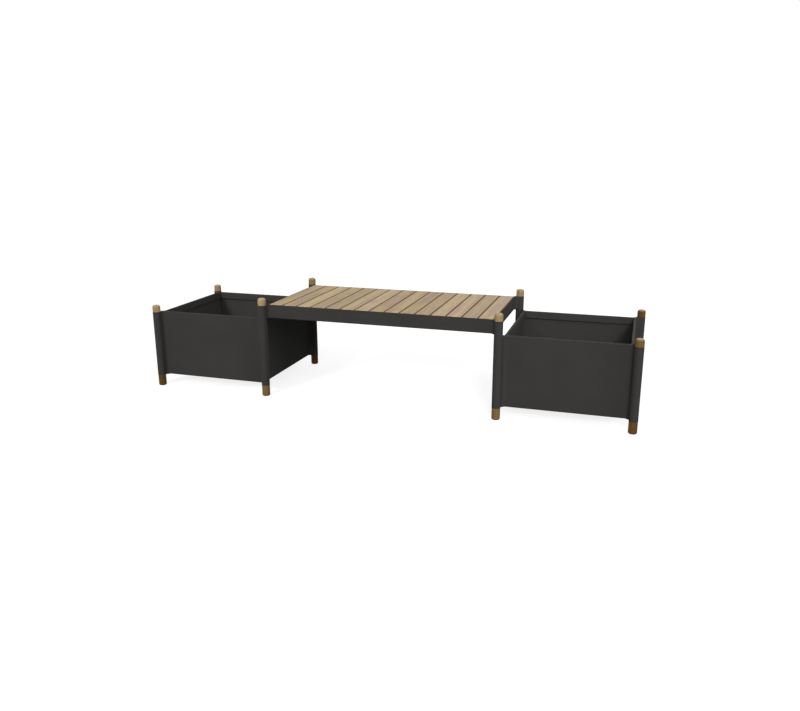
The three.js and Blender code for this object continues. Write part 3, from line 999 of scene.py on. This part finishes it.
def stepped(tree, facets, radius, rise, foot, steps=()):
    # a closed solid on z = 0: a plain foot, then the steps
    cone = addNode(tree, "GeometryNodeMeshCone", {
        "Vertices": facets, "Radius Bottom": radius, "Radius Top": radius, "Depth": times(tree, rise, foot)})
    solid, top = cone.outputs["Mesh"], cone.outputs["Top"]
    for lift, width in steps:
        drawn = addNode(tree, "GeometryNodeExtrudeMesh", {
            "Mesh": solid, "Selection": top, "Offset Scale": times(tree, rise, lift)}, mode="FACES")
        solid, top = drawn.outputs["Mesh"], drawn.outputs["Top"]
        solid = output(tree, "GeometryNodeScaleElements", {
            "Geometry": solid, "Selection": top, "Scale": width})
    return solid


def screwTree():
    tree, given = newTree("screwHeads", Head="Float", Rise="Float", Finish="Material")
    head = stepped(tree, screws["facets"], given["Head"], given["Rise"], screws["foot"], screws["steps"])
    endTree(tree, placedOnPoints(tree, given["Geometry"], head), given["Finish"])
    return tree


def nutTree():
    tree, given = newTree(
        "nutsOnStuds", Washer="Float", Across="Float", Thickness="Float", Stud="Float", Finish="Material")
    thick = given["Thickness"]
    washerRise = times(tree, thick, nuts["washerShare"])

    def raised(shape, height):
        return output(tree, "GeometryNodeTransform", {
            "Geometry": shape, "Translation": vectorOf(tree, z=height)})

    washer = stepped(tree, nuts["washerFacets"], given["Washer"], washerRise, 1.0)
    hexagon = stepped(tree, 6, given["Across"], thick, nuts["hexFoot"], nuts["hexSteps"])
    stud = stepped(tree, nuts["studFacets"], given["Stud"], thick, nuts["studFoot"], nuts["studSteps"])
    joined = addNode(tree, "GeometryNodeJoinGeometry")
    for shape in (washer, raised(hexagon, washerRise), raised(stud, plus(tree, washerRise, thick))):
        tree.links.new(shape, joined.inputs[0])
    endTree(tree, placedOnPoints(tree, given["Geometry"], joined.outputs[0]), given["Finish"])
    return tree


screwSpots = []
down = (0, 0, -1)
ledgeUnder = (ledgePlate["top"] - ledgePlate["thick"]) * mm
ledgeReach = folded["inset"] + ledgePlate["depth"] - screws["fromLedgeEdge"]
ledgeY = postPlace["left_inner_back"].y - ledgeReach * mm
for i in range(slats["count"]):
    x, apart = (firstLow.x + firstHigh.x) / 2 + i * slatPitch, screws["offAxis"] * mm
    for y in (-ledgeY, ledgeY):
        screwSpots += [((x - apart, y, ledgeUnder), down), ((x + apart, y, ledgeUnder), down)]
    for face in benchEnds:
        low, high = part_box(f"bearer_{face}")
        screwSpots.append(((x, (low[1] + high[1]) / 2, low[2]), down))
slatScrews = growPiece("slatScrews", screwSpots, screwTree(), {**screws, "Finish": stainlessSteel})
fix(slatScrews, "frame_metal")
braceNuts = growPiece("braceNuts", nutSpots, nutTree(), {**nuts, "Finish": stainlessSteel})
fix(braceNuts, "frame_metal")
print("screws and nuts made")


# camera, floor and light

view = {"place": (1.15417, -3.55681, 1.21461), "yaw": 0.30673, "pitch": 0.27124, "roll": -0.00199,
        "lens": 34.298, "sensor": 36}
light = {
    "sky": 0.32, "floor": 0.06, "floorSeen": 0.3, "floorGlow": 0.83, "floorHalf": 60,
    "suns": {
        "key": {"from": (0.0, -0.84, 0.54), "strength": 0.85, "spread": 40},
        "right": {"from": (0.8, -0.2, 0.54), "strength": 1.1, "spread": 34},
        "back": {"from": (0.0, 0.97, 0.24), "strength": 0.6, "spread": 24},
    },
    # a softbox with a grid for each planter; their beams meet over the seat
    "softboxes": {
        "softboxLeft": {"from": (-0.25, -0.84, 0.47), "aim": (-0.88, 0.0, 0.3)},
        "softboxRight": {"from": (0.28, -0.83, 0.47), "aim": (0.88, 0.0, 0.3)},
    },
    "boxAway": 8.0, "boxPower": 1770, "boxSize": 0.9, "boxBeam": 20,
    # low strips, which reach the upright faces that the softboxes leave dark and none of the level ones
    "strips": {
        "stripBack": {"place": (0.0, 8.3, 0.16), "length": 1.0, "power": 260},
        "stripLeft": {"place": (-7.2, 0.0, 0.16), "length": 2.5, "power": 130},
    },
    "stripHeight": 0.26,
}


def makeCamera():
    ahead = Vector((-math.sin(view["yaw"]) * math.cos(view["pitch"]),
                    math.cos(view["yaw"]) * math.cos(view["pitch"]), -math.sin(view["pitch"])))
    right = ahead.cross(Vector((0, 0, 1))).normalized()
    up = right.cross(ahead)
    c, s = math.cos(view["roll"]), math.sin(view["roll"])
    right, up = right * c + up * s, up * c - right * s
    turn = Matrix((right, up, -ahead)).transposed().to_4x4()
    camera = bpy.data.objects.new("camera", bpy.data.cameras.new("camera"))
    bpy.context.collection.objects.link(camera)
    camera.matrix_world = Matrix.Translation(view["place"]) @ turn
    camera.data.lens = view["lens"]
    camera.data.sensor_width = view["sensor"]
    bpy.context.scene.camera = camera


def seenRay(tree):
    path = addNode(tree, "ShaderNodeLightPath").outputs
    seen = calc(tree, "MAXIMUM", path["Is Camera Ray"], path["Is Glossy Ray"])
    return calc(tree, "MAXIMUM", seen, path["Is Transmission Ray"])


def makeFloor():
    material, tree = newMaterial("paleFloor")
    plain, bare = (output(tree, "ShaderNodeBsdfDiffuse", {"Color": (light[tone],) * 3 + (1,)})
                   for tone in ("floor", "floorSeen"))
    glow = output(tree, "ShaderNodeEmission", {"Strength": light["floorGlow"]})
    white = output(tree, "ShaderNodeAddShader", {0: bare, 1: glow})
    mixed = output(tree, "ShaderNodeMixShader", {0: seenRay(tree), 1: plain, 2: white})
    closeMaterial(tree, mixed)
    shape = bmesh.new()
    bmesh.ops.create_grid(shape, x_segments=1, y_segments=1, size=light["floorHalf"])
    newPiece("floor", shape, material)


def makeWorld():
    world = bpy.data.worlds.new("studio")
    world.use_nodes = True
    tree = world.node_tree
    tree.nodes.clear()
    strength = between(tree, seenRay(tree), 0.0, 1.0, light["sky"], 1.0)
    sky = output(tree, "ShaderNodeBackground", {"Color": (1, 1, 1, 1), "Strength": strength})
    addNode(tree, "ShaderNodeOutputWorld", {"Surface": sky})
    bpy.context.scene.world = world


def addLamp(name, kind, towards, place=(0, 0, 0)):
    lamp = bpy.data.objects.new(name, bpy.data.lights.new(name, kind))
    bpy.context.collection.objects.link(lamp)
    lamp.location = place
    lamp.visible_camera = False
    lamp.rotation_mode = "QUATERNION"
    lamp.rotation_quaternion = towards.to_track_quat("Z", "Y")
    return lamp.data


def makeLight():
    for name, sun in light["suns"].items():
        lamp = addLamp(name, "SUN", Vector(sun["from"]))
        lamp.energy = sun["strength"]
        lamp.angle = math.radians(sun["spread"])
    for name, box in light["softboxes"].items():
        towards = Vector(box["from"])
        lamp = addLamp(name, "SPOT", towards, Vector(box["aim"]) + towards * light["boxAway"])
        lamp.energy = light["boxPower"]
        lamp.shadow_soft_size = light["boxSize"]
        lamp.spot_size = math.radians(light["boxBeam"])
        lamp.spot_blend = 1.0
    for name, strip in light["strips"].items():
        away = Vector((*strip["place"][:2], 0.0))
        lamp = addLamp(name, "AREA", away, strip["place"])
        lamp.energy = strip["power"]
        lamp.shape = "RECTANGLE"
        lamp.size, lamp.size_y = strip["length"], light["stripHeight"]


makeCamera()
makeFloor()
makeWorld()
makeLight()
bpy.context.scene.view_settings.view_transform = "Standard"
print("camera, floor and light set")
